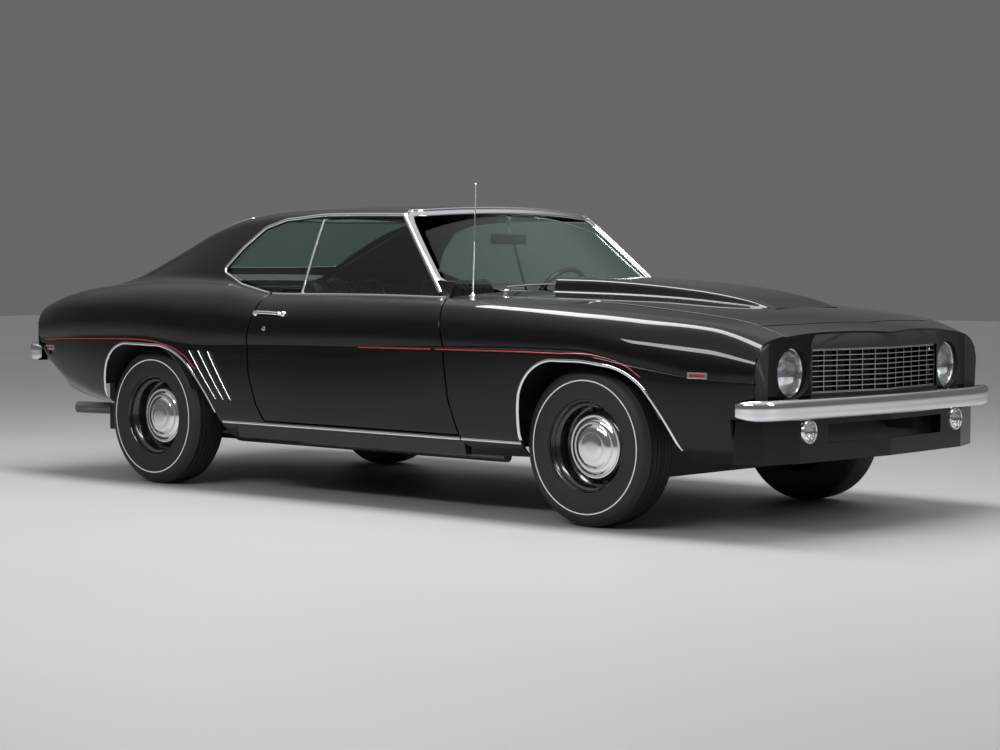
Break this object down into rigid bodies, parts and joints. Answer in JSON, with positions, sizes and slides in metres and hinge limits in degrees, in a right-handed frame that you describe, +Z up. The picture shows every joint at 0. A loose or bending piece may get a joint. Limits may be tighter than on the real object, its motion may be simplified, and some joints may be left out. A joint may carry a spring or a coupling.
{
  "type": "muscle car",
  "caption": "Two-door hardtop coupe with a long hood and cowl scoop, egg-crate grille, round headlamps, opening doors, hood and deck lid, steering and rolling wheels.",
  "frame": {"origin": "on the ground below the middle of the bounding box, between the wheels", "axes": "+X forward, +Y to the car's left, +Z up"},
  "size_m": [4.724, 1.8838, 1.4211],
  "materials": {
    "paint_black": "gloss",
    "chassis_black": "satin",
    "chrome": "polished",
    "glass_green": "clear",
    "tyre_rubber": "matte",
    "wheel_black": "gloss",
    "vinyl_black": "satin",
    "lamp_red": "gloss",
    "lamp_clear": "clear",
    "plastic_black": "satin",
    "bare_steel": "brushed",
    "iron": "cast",
    "engine_paint": "gloss",
    "aluminium": "satin"
  },
  "bodies": {
    "body": {"body_shell": "paint_black", "inner_structure": "chassis_black", "floor_pan": "chassis_black", "front_subframe": "chassis_black", "fender_left": "paint_black", "fender_right": "paint_black", "nose_panel": "paint_black", "front_valance": "paint_black", "grille": "plastic_black", "headlamps": "lamp_clear", "front_bumper": "chrome", "rear_bumper": "chrome", "tail_lamps": "lamp_red", "parking_lamps": "lamp_clear", "side_markers": "lamp_red", "windshield": "glass_green", "back_glass": "glass_green", "quarter_glass": "glass_green", "rear_axle": "iron", "exhaust": "bare_steel", "fuel_tank": "bare_steel", "engine": "engine_paint", "driveshaft": "bare_steel", "radiator": "aluminium", "dashboard": "vinyl_black", "front_seats": "vinyl_black", "rear_seat": "vinyl_black", "antenna": "chrome", "wipers": "chrome", "cabin_mirror": "chrome"},
    "hood": {"hood": "paint_black"},
    "decklid": {"decklid": "paint_black"},
    "door_left": {"door_left": "paint_black", "door_glass_left": "glass_green", "door_mirror": "chrome"},
    "door_right": {"door_right": "paint_black", "door_glass_right": "glass_green"},
    "steering_wheel": {"steering_wheel": "plastic_black"},
    "knuckle_left": {"knuckle_left": "iron"},
    "knuckle_right": {"knuckle_right": "iron"},
    "wheel_front_left": {"tyre_front_left": "tyre_rubber", "wheel_front_left": "wheel_black"},
    "wheel_front_right": {"tyre_front_right": "tyre_rubber", "wheel_front_right": "wheel_black"},
    "wheel_rear_left": {"tyre_rear_left": "tyre_rubber", "wheel_rear_left": "wheel_black"},
    "wheel_rear_right": {"tyre_rear_right": "tyre_rubber", "wheel_rear_right": "wheel_black"}
  },
  "joints": [
    {"name": "steer_left", "type": "hinge", "parent": "body", "child": "knuckle_left", "pos_m": [1.402, 0.69, 0.33], "axis": [0, 0, 1], "range_deg": [-30, 30]},
    {"name": "steer_right", "type": "hinge", "parent": "body", "child": "knuckle_right", "pos_m": [1.402, -0.69, 0.33], "axis": [0, 0, 1], "range_deg": [-30, 30]},
    {"name": "steering_wheel_turn", "type": "hinge", "parent": "body", "child": "steering_wheel", "pos_m": [0.212, 0.37, 0.876], "axis": [-0.9275, 0, 0.3738], "range_deg": [-486, 486]},
    {"name": "door_left_hinge", "type": "hinge", "parent": "body", "child": "door_left", "pos_m": [0.585, 0.878, 0.64], "axis": [0, 0, -1], "range_deg": [0, 65]},
    {"name": "door_right_hinge", "type": "hinge", "parent": "body", "child": "door_right", "pos_m": [0.585, -0.878, 0.64], "axis": [0, 0, 1], "range_deg": [0, 65]},
    {"name": "hood_hinge", "type": "hinge", "parent": "body", "child": "hood", "pos_m": [0.72, 0, 0.962], "axis": [0, -1, 0], "range_deg": [0, 50]},
    {"name": "decklid_hinge", "type": "hinge", "parent": "body", "child": "decklid", "pos_m": [-1.64, 0, 0.986], "axis": [0, 1, 0], "range_deg": [0, 70]},
    {"name": "spin_front_left", "type": "hinge", "parent": "knuckle_left", "child": "wheel_front_left", "pos_m": [1.402, 0.757, 0.33], "axis": [0, 1, 0], "continuous": true},
    {"name": "spin_front_right", "type": "hinge", "parent": "knuckle_right", "child": "wheel_front_right", "pos_m": [1.402, -0.757, 0.33], "axis": [0, 1, 0], "continuous": true},
    {"name": "spin_rear_left", "type": "hinge", "parent": "body", "child": "wheel_rear_left", "pos_m": [-1.344, 0.757, 0.33], "axis": [0, 1, 0], "continuous": true},
    {"name": "spin_rear_right", "type": "hinge", "parent": "body", "child": "wheel_rear_right", "pos_m": [-1.344, -0.757, 0.33], "axis": [0, 1, 0], "continuous": true}
  ],
  "couplings": [
    {"joint": "steer_right", "follows": "steer_left", "ratio": 1},
    {"joint": "steering_wheel_turn", "follows": "steer_left", "ratio": 16.2}
  ]
}
